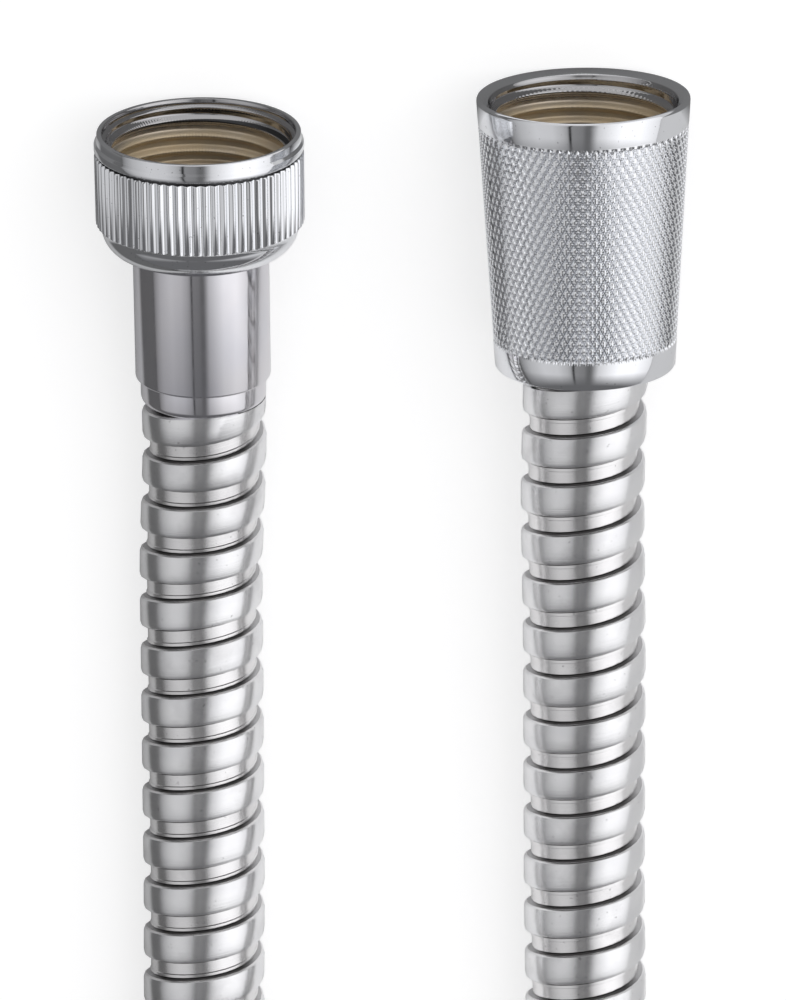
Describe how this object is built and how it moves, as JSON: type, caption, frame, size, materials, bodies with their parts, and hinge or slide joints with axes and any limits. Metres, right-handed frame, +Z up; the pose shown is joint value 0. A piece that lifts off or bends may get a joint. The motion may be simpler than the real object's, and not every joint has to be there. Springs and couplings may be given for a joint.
{
  "type": "flexible metal shower hose",
  "caption": "Flexible stainless interlock shower hose with a fluted swivel nut and a knurled conical swivel nut, lying in a round coil held by ties",
  "frame": {"origin": "under the middle of the two end fittings, on the surface that the hose lies on", "axes": "+Z up, +Y out of the mouths of the nuts, +X from the fluted nut to the conical nut"},
  "size_m": [0.1658, 0.2986, 0.03],
  "materials": {
    "chrome_nuts": "polished chrome plate over brass, bare brass deep in the mouths",
    "ferrule_chrome": "polished chrome plate",
    "armour_steel": "satin stainless strip, wound and interlocked",
    "sleeve_steel": "plain steel",
    "insert_brass": "machined brass",
    "washer_rubber": "matt black rubber",
    "tube_liner": "translucent flexible plastic",
    "glide_plastic": "smooth white plastic",
    "tie_plastic": "soft black plastic strap"
  },
  "bodies": {
    "hose": {"valve_insert": "insert_brass", "valve_ferrule": "ferrule_chrome", "armour_valve_end": "armour_steel", "inner_tube_valve_end": "tube_liner", "handset_insert": "insert_brass", "glide_ring": "glide_plastic", "handset_sleeve": "sleeve_steel", "armour_handset_end": "armour_steel", "inner_tube_handset_end": "tube_liner", "hose_coil": "armour_steel", "coil_tie_left": "tie_plastic", "coil_tie_right": "tie_plastic"},
    "fluted_swivel": {"fluted_nut": "chrome_nuts", "valve_washer": "washer_rubber"},
    "cone_swivel": {"cone_nut": "chrome_nuts", "handset_washer": "washer_rubber"}
  },
  "joints": [
    {"name": "fluted_nut_turn", "type": "hinge", "parent": "hose", "child": "fluted_swivel", "pos_m": [-0.02145, 0.014, 0.01274], "axis": [-0.0052, 0.9925, 0.1219], "continuous": true},
    {"name": "cone_nut_turn", "type": "hinge", "parent": "hose", "child": "cone_swivel", "pos_m": [0.021, 0.0178, 0.01183], "axis": [-0.0174, 0.9983, 0.0562], "continuous": true}
  ]
}
